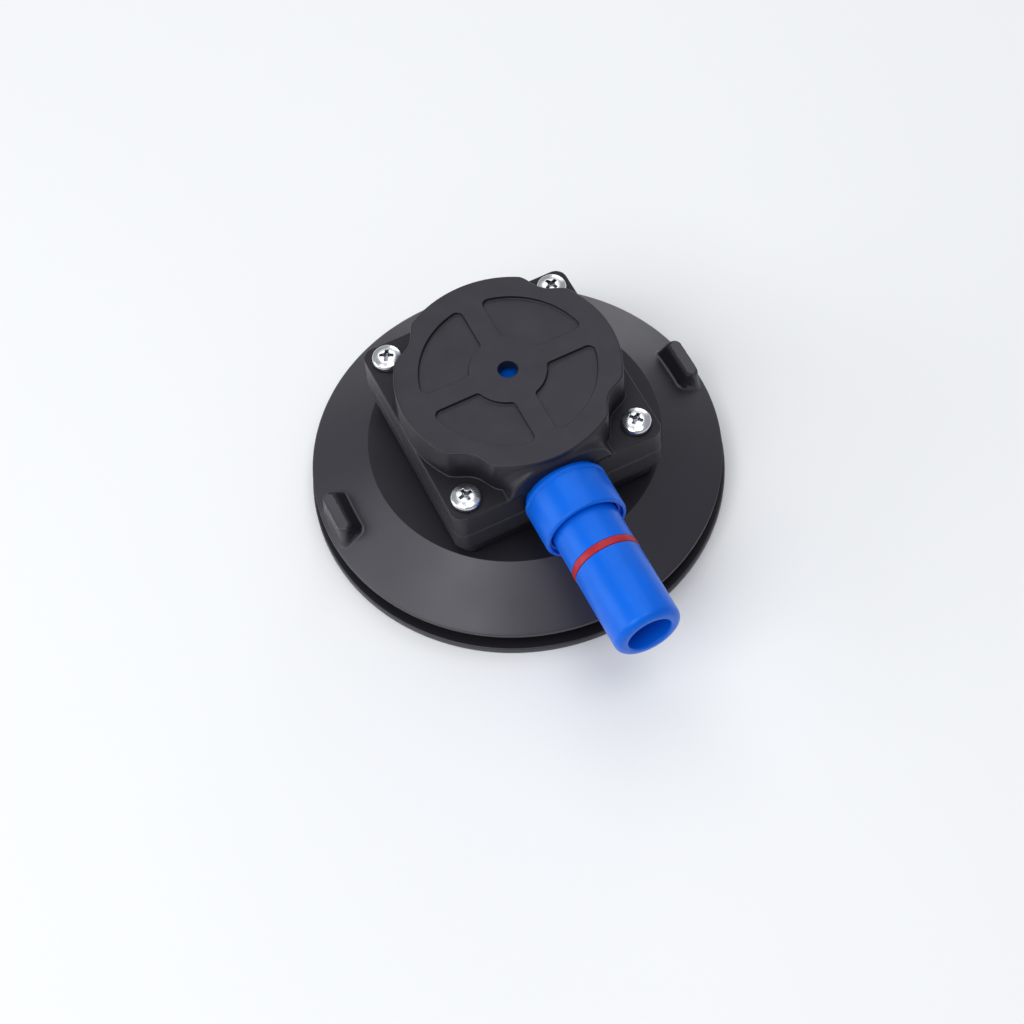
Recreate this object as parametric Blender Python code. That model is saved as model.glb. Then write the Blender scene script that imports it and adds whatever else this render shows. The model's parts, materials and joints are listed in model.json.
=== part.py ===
"""Hand-pumped vacuum suction cup.

A round rubber pad carries a square-flanged black housing with a round turret. A blue
spring-return hand pump lies in the housing and points to -Y. The sealing plane is z = 0,
the origin is the middle of that plane, and +Z points away from the surface that is gripped.
"""

import math

import bmesh
import bpy
from mathutils import Matrix, Vector

MM = 0.001
CLEAR = 0.3 * MM            # gap kept between pieces that touch

# Pad
PAD_RADIUS = 57.15 * MM     # 4.5 inch pad
LIP_HEIGHT = 2.2 * MM
GROOVE_RADIUS = 53.4 * MM
SHOULDER_RADIUS = 56.4 * MM
SHOULDER_Z = 8.5 * MM
PLATFORM_RADIUS = 39.9 * MM
PLATFORM_Z = 18.85 * MM
SEAL_LAND = 6.0 * MM        # width of the sealing ring on the underside
FACE_DEPTH = 1.6 * MM       # depth of the vacuum space under the pad
RIB_HEIGHT = 0.9 * MM
RIB_RADII = (22.0 * MM, 32.0 * MM, 42.0 * MM)
RIB_WIDTH = 3.0 * MM
TAB_LENGTH = 14.0 * MM
TAB_THICKNESS = 3.8 * MM
TAB_MID_RADIUS = 52.4 * MM
TAB_FOOT_RADIUS = 47.4 * MM
TAB_TOP_Z = 16.9 * MM
TAB_LEAD = 1.6 * MM         # both tabs sit a little behind the pad's middle

# Parts held in the pad
PLATE_RADIUS = 36.0 * MM
PLATE_Z = (10.5 * MM, 13.5 * MM)
INSERT_RADIUS = 3.6 * MM
INSERT_BORE = 2.05 * MM
FILTER_RADIUS = 8.7 * MM
FILTER_Z = (2.3 * MM, 4.7 * MM)
SCREEN_Z = (0.5 * MM, 2.0 * MM)
SCREEN_RIM = 1.4 * MM
SCREEN_SLOT = 1.3 * MM

# Housing
SKIRT_HALF = 28.3 * MM
FLANGE_HALF = 30.2 * MM
FLANGE_CORNER = 3.4 * MM
FLANGE_Z = (25.0 * MM, 39.2 * MM)
HOUSING_BASE_Z = PLATFORM_Z + CLEAR
TURRET_RADIUS = (30.1 * MM, 29.9 * MM)
TURRET_Z = 49.7 * MM
TURRET_EDGE = 0.7 * MM
TOP_WALL = 3.0 * MM
CAVITY_HALF = 25.3 * MM
CAVITY_RADIUS = 26.6 * MM
SCREW_PITCH_HALF = 24.5 * MM
BOSS_RADIUS = 4.9 * MM
SCALLOP_RADIUS = 7.1 * MM
SCALLOP_WALL = 2.6 * MM
POCKET_DEPTH = 0.8 * MM
POCKET_RADII = (10.3 * MM, 23.3 * MM)
SPOKE_HALF = 3.0 * MM
CENTRE_HOLE_RADIUS = 2.6 * MM
HOOD_HALF = 14.2 * MM
HOOD_TOP_Z = 47.1 * MM
HOOD_CORNER = 7.8 * MM
HOOD_FACE_Y = -30.6 * MM
BULKHEAD_Y = (4.2 * MM, 10.0 * MM)
BULKHEAD_BASE_Z = 20.6 * MM

# Screws
SCREW_HEAD_RADIUS = 4.0 * MM
SCREW_HEAD_HEIGHT = 2.5 * MM
SCREW_SHANK = 1.85 * MM
SCREW_HOLE = 2.25 * MM
SCREW_END_Z = 14.6 * MM
RECESS_LENGTH = 4.0 * MM
RECESS_WIDTH = 1.1 * MM
RECESS_DEPTH = 1.5 * MM

# Pump, on an axis along Y
AXIS_Z = 34.35 * MM
BARREL_RADIUS = 10.35 * MM
BARREL_BORE = 9.5 * MM
BARREL_Y = (-39.9 * MM, 7.0 * MM)
BARREL_WALL_Y = 4.0 * MM
SHOULDER_Y = (-25.5 * MM, -23.1 * MM)
SHOULDER_OUT = 1.5 * MM
COLLAR_RADIUS = 11.5 * MM
COLLAR_BORE = 10.65 * MM
COLLAR_Y = (-44.2 * MM, -31.4 * MM)
COLLAR_LIP_Y = -42.7 * MM
COLLAR_LIP_BORE = 9.55 * MM
PLUNGER_RADIUS = 9.2 * MM
PLUNGER_Y = (-78.6 * MM, -26.5 * MM)
THUMB_BORE = 6.0 * MM
THUMB_BORE_END_Y = -54.5 * MM
SPRING_BORE = 6.2 * MM
SPRING_BORE_END_Y = -51.0 * MM
RING_Y = (-55.75 * MM, -53.75 * MM)
SEAL_Y = (-29.3 * MM, -26.6 * MM)
NECK_RADIUS = 7.7 * MM
SPRING_RADIUS = 4.85 * MM
SPRING_WIRE = 0.55 * MM
SPRING_TURNS = 10

# Inlet valve, on an axis along Z through the origin
PORT_BORE = 1.6 * MM
PORT_RADIUS = 2.6 * MM
VALVE_RADIUS = 6.0 * MM
VALVE_Z = (15.3 * MM, 18.9 * MM)
VALVE_SEAT_Z = 16.9 * MM
DISC_RADIUS = 3.6 * MM
DISC_Z = (17.2 * MM, 18.0 * MM)
COVER_Z = (19.2 * MM, 20.0 * MM)
O_RING_MINOR = 0.45 * MM
O_RING_MAJOR = 2.5 * MM
O_RING_Z = 20.65 * MM
NIPPLE_RADIUS = 3.6 * MM
NIPPLE_BORE = 1.4 * MM
NIPPLE_Z = 21.25 * MM

PAD_SEGMENTS = 72
TURRET_SEGMENTS = 64
PUMP_SEGMENTS = 36
SMALL_SEGMENTS = 20
SHARP_ANGLE = math.radians(35)
QUARTERS = (45, 135, 225, 315)

RUBBER = ((0.028, 0.027, 0.031), 0.55, 0.0)
NYLON = ((0.022, 0.021, 0.025), 0.45, 0.0)
BLUE = ((0.004, 0.15, 0.80), 0.35, 0.0)
RED = ((0.55, 0.012, 0.02), 0.4, 0.0)
ZINC = ((0.72, 0.74, 0.76), 0.25, 1.0)
STEEL = ((0.55, 0.56, 0.58), 0.35, 1.0)
BRASS = ((0.75, 0.55, 0.22), 0.35, 1.0)
ACETAL = ((0.75, 0.75, 0.72), 0.4, 0.0)
FELT = ((0.78, 0.77, 0.73), 0.9, 0.0)


def clear_scene():
    for item in list(bpy.data.objects):
        bpy.data.objects.remove(item)


def finish(name, colour, roughness, metallic):
    """A Principled BSDF material."""
    material = bpy.data.materials.new(name)
    material.use_nodes = True
    shader = material.node_tree.nodes["Principled BSDF"]
    shader.inputs["Base Color"].default_value = (*colour, 1.0)
    shader.inputs["Roughness"].default_value = roughness
    shader.inputs["Metallic"].default_value = metallic
    material.diffuse_color = (*colour, 1.0)
    return material


def add_object(name, shape, look=None):
    """Closes a bmesh into a named object with its faces pointing out."""
    bmesh.ops.recalc_face_normals(shape, faces=shape.faces)
    mesh = bpy.data.meshes.new(name)
    shape.to_mesh(mesh)
    shape.free()
    solid = bpy.data.objects.new(name, mesh)
    bpy.context.collection.objects.link(solid)
    if look is not None:
        mesh.materials.append(finish(name, *look))
        smooth(solid)
    return solid


def smooth(solid):
    solid.data.shade_smooth()
    solid.data.set_sharp_from_angle(angle=SHARP_ANGLE)


def revolve(name, profile, look=None, axis="Z", centre=(0.0, 0.0), segments=PUMP_SEGMENTS):
    """Turns a closed profile of (radius, height) points about a line along Z or Y.

    centre is the line's (x, y) for Z, and its (x, z) for Y.
    """
    shape = bmesh.new()
    rings = []
    for radius, height in profile:
        ring = []
        for step in range(segments if radius > 0 else 1):
            turn = 2 * math.pi * step / segments
            across = centre[0] + radius * math.cos(turn)
            second = centre[1] + radius * math.sin(turn)
            point = (across, second, height) if axis == "Z" else (across, height, second)
            ring.append(shape.verts.new(point))
        rings.append(ring)
    for lower, upper in zip(rings, rings[1:] + rings[:1]):
        if len(lower) == 1 and len(upper) == 1:
            continue
        for step in range(segments):
            after = (step + 1) % segments
            corners = [lower[step % len(lower)], lower[after % len(lower)],
                       upper[after % len(upper)], upper[step % len(upper)]]
            shape.faces.new(dict.fromkeys(corners))
    return add_object(name, shape, look)


def cylinder(radius, low, high, axis="Z", centre=(0.0, 0.0), segments=PUMP_SEGMENTS, name="tool",
             look=None):
    profile = [(0.0, low), (radius, low), (radius, high), (0.0, high)]
    return revolve(name, profile, look, axis, centre, segments)


def prism(outline, low, high, axis="Z", name="tool", look=None):
    """Extrudes a closed outline of (x, y) points along Z, or of (x, z) points along Y."""
    shape = bmesh.new()
    ends = []
    for height in (low, high):
        ends.append([shape.verts.new((a, b, height) if axis == "Z" else (a, height, b))
                     for a, b in outline])
    shape.faces.new(ends[0])
    shape.faces.new(ends[1])
    for index in range(len(outline)):
        after = (index + 1) % len(outline)
        shape.faces.new((ends[0][index], ends[0][after], ends[1][after], ends[1][index]))
    return add_object(name, shape, look)


def arc(centre, radius, start, end, steps):
    """Points on an arc, with angles in degrees."""
    points = []
    for step in range(steps + 1):
        turn = math.radians(start + (end - start) * step / steps)
        points.append((centre[0] + radius * math.cos(turn), centre[1] + radius * math.sin(turn)))
    return points


def rounded_box(half_width, low, high, corner, steps=4):
    """A rectangle outline with rounded corners, from low to high in its second axis."""
    outline = []
    places = ((half_width - corner, high - corner, 0), (corner - half_width, high - corner, 90),
              (corner - half_width, low + corner, 180), (half_width - corner, low + corner, 270))
    for across, up, start in places:
        outline += arc((across, up), corner, start, start + 90, steps)
    return outline


def combine(body, tool, operation):
    """Joins a tool to a body, or cuts it out, and uses the tool up."""
    step = body.modifiers.new(operation.lower(), "BOOLEAN")
    step.operation = operation
    step.object = tool
    step.solver = "EXACT"
    graph = bpy.context.evaluated_depsgraph_get()
    result = bpy.data.meshes.new_from_object(body.evaluated_get(graph))
    body.modifiers.clear()
    body.data = result
    bpy.data.objects.remove(tool)


def cut(body, *tools):
    for tool in tools:
        combine(body, tool, "DIFFERENCE")


def join(body, *tools):
    for tool in tools:
        combine(body, tool, "UNION")


def corners(distance=SCREW_PITCH_HALF):
    """The four screw places, counter-clockwise from +X+Y."""
    return [(math.copysign(distance, math.cos(math.radians(turn))),
             math.copysign(distance, math.sin(math.radians(turn)))) for turn in QUARTERS]


def set_origin(piece, point, parent):
    """Puts an object's origin on its joint axis and hangs it from the joint's empty."""
    piece.data.transform(Matrix.Translation(-Vector(point)))
    piece.parent = parent
    piece.location = Vector(point) - parent.location


def joint_empty(name, point):
    empty = bpy.data.objects.new(name, None)
    empty.location = point
    empty.empty_display_size = 5 * MM
    bpy.context.collection.objects.link(empty)
    return empty


# Pad and the parts moulded into it

def cone_z(radius):
    """Height of the pad's sloping top at a radius."""
    share = (SHOULDER_RADIUS - radius) / (SHOULDER_RADIUS - PLATFORM_RADIUS)
    return SHOULDER_Z + share * (PLATFORM_Z - SHOULDER_Z)


def pad_profile():
    """The pad's section, from the middle of its underside round to the middle of its top."""
    land = PAD_RADIUS - SEAL_LAND
    profile = [(0.0, FACE_DEPTH)]
    for radius in RIB_RADII:
        profile += [(radius - RIB_WIDTH / 2, FACE_DEPTH),
                    (radius - RIB_WIDTH / 4, FACE_DEPTH - RIB_HEIGHT),
                    (radius + RIB_WIDTH / 4, FACE_DEPTH - RIB_HEIGHT),
                    (radius + RIB_WIDTH / 2, FACE_DEPTH)]
    profile += [(land - FACE_DEPTH, FACE_DEPTH), (land, 0.0), (PAD_RADIUS, 0.0),
                (PAD_RADIUS, LIP_HEIGHT - 0.5 * MM), (PAD_RADIUS - 0.5 * MM, LIP_HEIGHT),
                (GROOVE_RADIUS + 0.8 * MM, LIP_HEIGHT + 0.3 * MM),
                (GROOVE_RADIUS, LIP_HEIGHT + 1.2 * MM),
                (GROOVE_RADIUS, SHOULDER_Z - 2.4 * MM),
                (SHOULDER_RADIUS - 0.6 * MM, SHOULDER_Z - 1.2 * MM),
                (SHOULDER_RADIUS, SHOULDER_Z - 0.6 * MM), (SHOULDER_RADIUS, SHOULDER_Z),
                (PLATFORM_RADIUS, PLATFORM_Z), (0.0, PLATFORM_Z)]
    return profile


def tab_outline():
    """A release tab's section in the XZ plane: a foot on the cone and a rounded crest."""
    outer = TAB_MID_RADIUS + TAB_THICKNESS / 2
    inner = TAB_MID_RADIUS - TAB_THICKNESS / 2
    sunk = 2.0 * MM
    crest = 1.0 * MM
    outline = [(TAB_FOOT_RADIUS, cone_z(TAB_FOOT_RADIUS) - sunk),
               (outer - 0.3 * MM, cone_z(outer) - sunk / 2),
               (outer, TAB_TOP_Z - crest), (outer - crest, TAB_TOP_Z),
               (inner + crest, TAB_TOP_Z), (inner, TAB_TOP_Z - crest),
               (inner - 0.4 * MM, cone_z(inner) + 1.2 * MM),
               (TAB_FOOT_RADIUS, cone_z(TAB_FOOT_RADIUS) - 0.2 * MM)]
    return outline


def make_pad():
    pad = revolve("vacuum_pad", pad_profile(), segments=PAD_SEGMENTS)
    for side in (1, -1):
        section = [(side * x, z) for x, z in tab_outline()]
        tab = prism(section, TAB_LEAD - TAB_LENGTH / 2, TAB_LEAD + TAB_LENGTH / 2, axis="Y")
        rounding = rounded_box(TAB_MID_RADIUS + TAB_THICKNESS / 2, TAB_LEAD - TAB_LENGTH / 2,
                               TAB_LEAD + TAB_LENGTH / 2, 2.6 * MM)
        combine(tab, prism(rounding, 0.0, TAB_TOP_Z + MM), "INTERSECT")
        join(pad, tab)
    pocket = PLATE_RADIUS + CLEAR
    cut(pad, cylinder(pocket, PLATE_Z[0] - CLEAR, PLATE_Z[1] + CLEAR, segments=PAD_SEGMENTS))
    for place in corners():
        cut(pad, cylinder(INSERT_RADIUS + CLEAR, PLATE_Z[1], PLATFORM_Z + MM, centre=place,
                          segments=SMALL_SEGMENTS))
    cut(pad, cylinder(PORT_RADIUS + CLEAR, FILTER_Z[1], VALVE_Z[0], segments=SMALL_SEGMENTS),
        cylinder(FILTER_RADIUS + CLEAR, -MM, FILTER_Z[1] + 0.9 * MM, segments=PUMP_SEGMENTS),
        cylinder(VALVE_RADIUS + CLEAR, VALVE_Z[0] - CLEAR, PLATFORM_Z + MM,
                 segments=PUMP_SEGMENTS))
    pad.data.materials.append(finish("vacuum_pad", *RUBBER))
    smooth(pad)
    return pad


def make_backing_plate():
    hole = PORT_RADIUS + CLEAR
    profile = [(hole, PLATE_Z[0]), (PLATE_RADIUS, PLATE_Z[0]), (PLATE_RADIUS, PLATE_Z[1]),
               (hole, PLATE_Z[1])]
    return revolve("backing_plate", profile, STEEL, segments=PAD_SEGMENTS)


def make_threaded_inserts():
    low = PLATE_Z[1] + 2 * CLEAR
    waist = INSERT_RADIUS - 0.5 * MM
    middle = (low + PLATFORM_Z) / 2
    for number, place in enumerate(corners(), start=1):
        profile = [(INSERT_BORE, low), (INSERT_RADIUS, low), (INSERT_RADIUS, middle - 0.6 * MM),
                   (waist, middle - 0.4 * MM), (waist, middle + 0.4 * MM),
                   (INSERT_RADIUS, middle + 0.6 * MM), (INSERT_RADIUS, PLATFORM_Z),
                   (INSERT_BORE, PLATFORM_Z)]
        revolve(f"threaded_insert_{number}", profile, BRASS, centre=place,
                segments=SMALL_SEGMENTS)


def make_filter():
    cylinder(FILTER_RADIUS, *FILTER_Z, segments=PUMP_SEGMENTS, name="filter_disc", look=FELT)
    screen = cylinder(FILTER_RADIUS, *SCREEN_Z, segments=PUMP_SEGMENTS, name="filter_screen")
    for across in (-4.6 * MM, -2.3 * MM, 2.3 * MM, 4.6 * MM):
        reach = math.sqrt((FILTER_RADIUS - SCREEN_RIM) ** 2 - across ** 2) - 0.5 * MM
        slot = [(across - SCREEN_SLOT / 2, -reach), (across + SCREEN_SLOT / 2, -reach),
                (across + SCREEN_SLOT / 2, reach), (across - SCREEN_SLOT / 2, reach)]
        cut(screen, prism(slot, -MM, SCREEN_Z[1] + MM))
    screen.data.materials.append(finish("filter_screen", *STEEL))
    smooth(screen)


# Housing

def pocket_outline(turn):
    """One of the four shallow sector pockets in the turret's top, about a diagonal."""
    inner, outer = POCKET_RADII
    trim_in = math.degrees(math.asin(SPOKE_HALF / inner))
    trim_out = math.degrees(math.asin(SPOKE_HALF / outer))
    start, end = turn - 45, turn + 45
    return (arc((0, 0), outer, start + trim_out, end - trim_out, 12)
            + arc((0, 0), inner, end - trim_in, start + trim_in, 5))


def turret_profile():
    wide, narrow = TURRET_RADIUS
    return [(0.0, FLANGE_Z[0] + MM), (wide, FLANGE_Z[0] + MM), (wide, FLANGE_Z[1]),
            (narrow, TURRET_Z - TURRET_EDGE), (narrow - TURRET_EDGE, TURRET_Z), (0.0, TURRET_Z)]


def housing_cavity():
    """The hollow inside: square round the screw bosses below, round inside the turret above."""
    roof = FLANGE_Z[1] - TOP_WALL
    lower = prism(rounded_box(CAVITY_HALF, -CAVITY_HALF, CAVITY_HALF, 2.0 * MM),
                  HOUSING_BASE_Z - MM, roof)
    upper = cylinder(CAVITY_RADIUS, roof - MM, TURRET_Z - TOP_WALL, segments=TURRET_SEGMENTS)
    for place in corners():
        cut(lower, cylinder(BOSS_RADIUS, HOUSING_BASE_Z - 2 * MM, roof + MM, centre=place,
                            segments=SMALL_SEGMENTS))
        cut(upper, cylinder(SCALLOP_RADIUS + SCALLOP_WALL, roof - 2 * MM, TURRET_Z,
                            centre=place, segments=PUMP_SEGMENTS))
    join(lower, upper)
    return lower


def hood_outline():
    """The arched front of the housing that holds the pump, in the XZ plane."""
    across, up = HOOD_HALF - HOOD_CORNER, HOOD_TOP_Z - HOOD_CORNER
    foot = HOUSING_BASE_Z + 0.4 * MM
    return (arc((across, up), HOOD_CORNER, 0, 90, 6) + arc((-across, up), HOOD_CORNER, 90, 180, 6)
            + [(-HOOD_HALF, foot), (HOOD_HALF, foot)])


def make_housing():
    housing = prism(rounded_box(FLANGE_HALF, -FLANGE_HALF, FLANGE_HALF, FLANGE_CORNER),
                    *FLANGE_Z, name="housing")
    skirt = prism(rounded_box(SKIRT_HALF, -SKIRT_HALF, SKIRT_HALF, FLANGE_CORNER),
                  HOUSING_BASE_Z, FLANGE_Z[0] + MM)
    turret = revolve("tool", turret_profile(), segments=TURRET_SEGMENTS)
    for place in corners():
        cut(turret, cylinder(SCALLOP_RADIUS, FLANGE_Z[0], TURRET_Z + MM, centre=place,
                             segments=PUMP_SEGMENTS))
    hood = prism(hood_outline(), HOOD_FACE_Y, -20 * MM, axis="Y")
    join(housing, skirt, turret, hood)
    cut(housing, housing_cavity())
    bulkhead = prism([(-CAVITY_HALF - MM, BULKHEAD_Y[0]), (CAVITY_HALF + MM, BULKHEAD_Y[0]),
                      (CAVITY_HALF + MM, BULKHEAD_Y[1]), (-CAVITY_HALF - MM, BULKHEAD_Y[1])],
                     BULKHEAD_BASE_Z, TURRET_Z - TOP_WALL + MM)
    join(housing, bulkhead)
    socket = BARREL_RADIUS + CLEAR
    pump_line = (0.0, AXIS_Z)
    cut(housing, cylinder(socket, HOOD_FACE_Y - MM, -CAVITY_HALF + MM, "Y", pump_line),
        cylinder(socket + SHOULDER_OUT, SHOULDER_Y[0] - CLEAR, -20 * MM, "Y", pump_line),
        cylinder(socket, BULKHEAD_Y[0] - MM, BARREL_Y[1] + CLEAR, "Y", pump_line),
        cylinder(CENTRE_HOLE_RADIUS, TURRET_Z - TOP_WALL - MM, TURRET_Z + MM,
                 segments=SMALL_SEGMENTS))
    for turn in QUARTERS:
        cut(housing, prism(pocket_outline(turn), TURRET_Z - POCKET_DEPTH, TURRET_Z + MM))
    for place in corners():
        cut(housing, cylinder(SCREW_HOLE, HOUSING_BASE_Z - MM, FLANGE_Z[1] + MM, centre=place,
                              segments=SMALL_SEGMENTS))
    housing.data.materials.append(finish("housing", *NYLON))
    smooth(housing)


def screw_profile(seat):
    """A pan head with a domed top, over a plain shank with a small lead-in."""
    crown = seat + SCREW_HEAD_HEIGHT
    rim = SCREW_HEAD_RADIUS
    return [(0.0, SCREW_END_Z), (SCREW_SHANK - 0.4 * MM, SCREW_END_Z),
            (SCREW_SHANK, SCREW_END_Z + 0.5 * MM), (SCREW_SHANK, seat), (rim, seat),
            (rim, seat + 0.9 * MM), (rim - 0.45 * MM, seat + 1.7 * MM),
            (rim - 1.4 * MM, crown - 0.15 * MM), (rim - 2.4 * MM, crown), (0.0, crown)]


def make_screws():
    seat = FLANGE_Z[1] + CLEAR
    crown = seat + SCREW_HEAD_HEIGHT
    for number, place in enumerate(corners(), start=1):
        screw = revolve(f"screw_{number}", screw_profile(seat), centre=place,
                        segments=SMALL_SEGMENTS)
        for along, across in ((RECESS_LENGTH, RECESS_WIDTH), (RECESS_WIDTH, RECESS_LENGTH)):
            slot = [(place[0] + x * along / 2, place[1] + y * across / 2)
                    for x, y in ((-1, -1), (1, -1), (1, 1), (-1, 1))]
            cut(screw, prism(slot, crown - RECESS_DEPTH, crown + MM))
        screw.data.materials.append(finish(f"screw_{number}", *ZINC))
        smooth(screw)


# Pump

def make_barrel():
    """A closed-ended tube with a shoulder behind the hood and a port nipple below."""
    front, back = BARREL_Y
    shoulder = BARREL_RADIUS + SHOULDER_OUT
    profile = [(BARREL_BORE, front), (BARREL_RADIUS, front), (BARREL_RADIUS, SHOULDER_Y[0]),
               (shoulder, SHOULDER_Y[0]), (shoulder, SHOULDER_Y[1]),
               (BARREL_RADIUS, SHOULDER_Y[1]), (BARREL_RADIUS, back - 0.6 * MM),
               (BARREL_RADIUS - 0.6 * MM, back), (0.0, back), (0.0, BARREL_WALL_Y),
               (BARREL_BORE, BARREL_WALL_Y)]
    barrel = revolve("pump_barrel", profile, axis="Y", centre=(0.0, AXIS_Z))
    mouth = AXIS_Z - BARREL_BORE
    join(barrel, cylinder(NIPPLE_RADIUS, NIPPLE_Z, mouth - 0.4 * MM, segments=SMALL_SEGMENTS))
    cut(barrel, cylinder(NIPPLE_BORE, NIPPLE_Z - MM, mouth + 2 * MM, segments=SMALL_SEGMENTS))
    barrel.data.materials.append(finish("pump_barrel", *BLUE))
    smooth(barrel)


def make_collar():
    """The ring nut that clamps the barrel to the hood and closes its mouth."""
    front, back = COLLAR_Y
    rim = COLLAR_RADIUS - 1.2 * MM
    profile = [(COLLAR_LIP_BORE, front + 1.2 * MM), (rim, front + 0.7 * MM),
               (rim + 0.3 * MM, front), (COLLAR_RADIUS - 0.4 * MM, front),
               (COLLAR_RADIUS, front + 0.5 * MM), (COLLAR_RADIUS, back - 1.4 * MM),
               (COLLAR_RADIUS - 0.3 * MM, back - 1.1 * MM), (COLLAR_RADIUS - 0.3 * MM, back),
               (COLLAR_BORE, back), (COLLAR_BORE, COLLAR_LIP_Y),
               (COLLAR_LIP_BORE, COLLAR_LIP_Y)]
    revolve("barrel_collar", profile, BLUE, "Y", (0.0, AXIS_Z))


def make_wiper():
    low, high = COLLAR_LIP_Y + CLEAR, BARREL_Y[0] - CLEAR
    inner = PLUNGER_RADIUS + 0.25 * MM
    profile = [(inner + 0.5 * MM, low), (COLLAR_BORE - CLEAR, low), (COLLAR_BORE - CLEAR, high),
               (inner, high), (inner, (low + high) / 2)]
    revolve("rod_wiper", profile, RUBBER, "Y", (0.0, AXIS_Z))


def plunger_profile():
    """The hollow plunger, from its thumb end to the neck that carries the seal."""
    outer, inner = PLUNGER_Y
    round_edge = arc((PLUNGER_RADIUS - 2.0 * MM, outer + 2.0 * MM), 2.0 * MM, 0, -90, 4)
    groove = PLUNGER_RADIUS - 0.6 * MM
    ring_low, ring_high = RING_Y[0] - 0.15 * MM, RING_Y[1] + 0.15 * MM
    neck = SEAL_Y[0] - CLEAR
    return [(0.0, THUMB_BORE_END_Y), (THUMB_BORE, THUMB_BORE_END_Y),
            (THUMB_BORE, outer + 0.5 * MM), *reversed(round_edge),
            (PLUNGER_RADIUS, ring_low), (groove, ring_low), (groove, ring_high),
            (PLUNGER_RADIUS, ring_high), (PLUNGER_RADIUS, neck), (NECK_RADIUS, neck),
            (NECK_RADIUS, inner), (SPRING_BORE, inner), (SPRING_BORE, SPRING_BORE_END_Y),
            (0.0, SPRING_BORE_END_Y)]


def make_plunger(slide):
    line = (0.0, AXIS_Z)
    plunger = revolve("plunger", plunger_profile(), BLUE, "Y", line)
    crest, root = PLUNGER_RADIUS + 0.08 * MM, PLUNGER_RADIUS - 0.45 * MM
    ring = revolve("indicator_ring", [(root, RING_Y[0]), (crest, RING_Y[0]), (crest, RING_Y[1]),
                                      (root, RING_Y[1])], RED, "Y", line)
    inner = NECK_RADIUS + CLEAR
    lip = PLUNGER_RADIUS + 0.1 * MM
    seal = revolve("piston_seal", [(inner, SEAL_Y[0]), (lip - 0.4 * MM, SEAL_Y[0]),
                                   (lip, SEAL_Y[1]), (lip - 0.5 * MM, SEAL_Y[1]),
                                   (inner + 0.35 * MM, SEAL_Y[0] + 1.1 * MM),
                                   (inner, SEAL_Y[1] - 0.6 * MM)], RUBBER, "Y", line)
    low = PLUNGER_Y[1] + CLEAR
    retainer = revolve("piston_retainer", [(SPRING_BORE, low), (NECK_RADIUS + 0.9 * MM, low),
                                           (NECK_RADIUS + 0.9 * MM, low + 1.2 * MM),
                                           (NECK_RADIUS + 0.4 * MM, low + 1.7 * MM),
                                           (SPRING_BORE, low + 1.7 * MM)], ACETAL, "Y", line)
    for piece in (plunger, ring, seal, retainer):
        set_origin(piece, (0.0, COLLAR_Y[0], AXIS_Z), slide)


def make_spring():
    """A round-wire helix along Y with flat-wound ends."""
    start = SPRING_BORE_END_Y + CLEAR + SPRING_WIRE
    end = BARREL_WALL_Y - CLEAR - SPRING_WIRE
    steps_per_turn, sides = 14, 6
    total = SPRING_TURNS * steps_per_turn
    closed = 1.25 * steps_per_turn
    pitch_close = 2.6 * SPRING_WIRE
    travel = (end - start - 2 * pitch_close * closed / steps_per_turn) / (total - 2 * closed)
    shape = bmesh.new()
    rings = []
    place = start
    for step in range(total + 1):
        turn = 2 * math.pi * step / steps_per_turn
        out = Vector((math.cos(turn), 0.0, math.sin(turn)))
        centre = out * SPRING_RADIUS + Vector((0.0, place, AXIS_Z))
        ring = []
        for side in range(sides):
            angle = 2 * math.pi * side / sides
            offset = out * math.cos(angle) + Vector((0.0, 1.0, 0.0)) * math.sin(angle)
            ring.append(shape.verts.new(centre + offset * SPRING_WIRE))
        rings.append(ring)
        end_coil = step < closed or step >= total - closed
        place += pitch_close / steps_per_turn if end_coil else travel
    for near, far in zip(rings, rings[1:]):
        for side in range(sides):
            after = (side + 1) % sides
            shape.faces.new((near[side], near[after], far[after], far[side]))
    shape.faces.new(rings[0])
    shape.faces.new(rings[-1])
    add_object("plunger_spring", shape, STEEL)


# Inlet valve

def make_inlet(lift):
    foot = FILTER_Z[1] + CLEAR
    revolve("port_tube", [(PORT_BORE, foot), (PORT_RADIUS + 1.4 * MM, foot),
                          (PORT_RADIUS + 1.4 * MM, foot + 0.4 * MM),
                          (PORT_RADIUS, foot + 0.4 * MM), (PORT_RADIUS, VALVE_Z[0] - CLEAR),
                          (PORT_BORE, VALVE_Z[0] - CLEAR)], BRASS, segments=SMALL_SEGMENTS)
    cage = DISC_RADIUS + 0.7 * MM
    revolve("valve_body", [(PORT_BORE, VALVE_Z[0]), (VALVE_RADIUS, VALVE_Z[0]),
                           (VALVE_RADIUS, VALVE_Z[1]), (cage, VALVE_Z[1]),
                           (cage, VALVE_SEAT_Z - 0.4 * MM),
                           (PORT_BORE + 0.9 * MM, VALVE_SEAT_Z - 0.4 * MM),
                           (PORT_BORE + 0.7 * MM, VALVE_SEAT_Z), (PORT_BORE, VALVE_SEAT_Z)],
            ACETAL)
    disc = cylinder(DISC_RADIUS, *DISC_Z, name="valve_disc", look=RUBBER,
                    segments=SMALL_SEGMENTS)
    set_origin(disc, (0.0, 0.0, DISC_Z[0]), lift)
    revolve("valve_cover", [(NIPPLE_BORE, COVER_Z[0]), (VALVE_RADIUS, COVER_Z[0]),
                            (VALVE_RADIUS, COVER_Z[1]), (NIPPLE_BORE, COVER_Z[1])], ACETAL)
    section = arc((O_RING_MAJOR, O_RING_Z), O_RING_MINOR, 0, 315, 7)
    revolve("port_o_ring", section, RUBBER, segments=SMALL_SEGMENTS)


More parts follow.
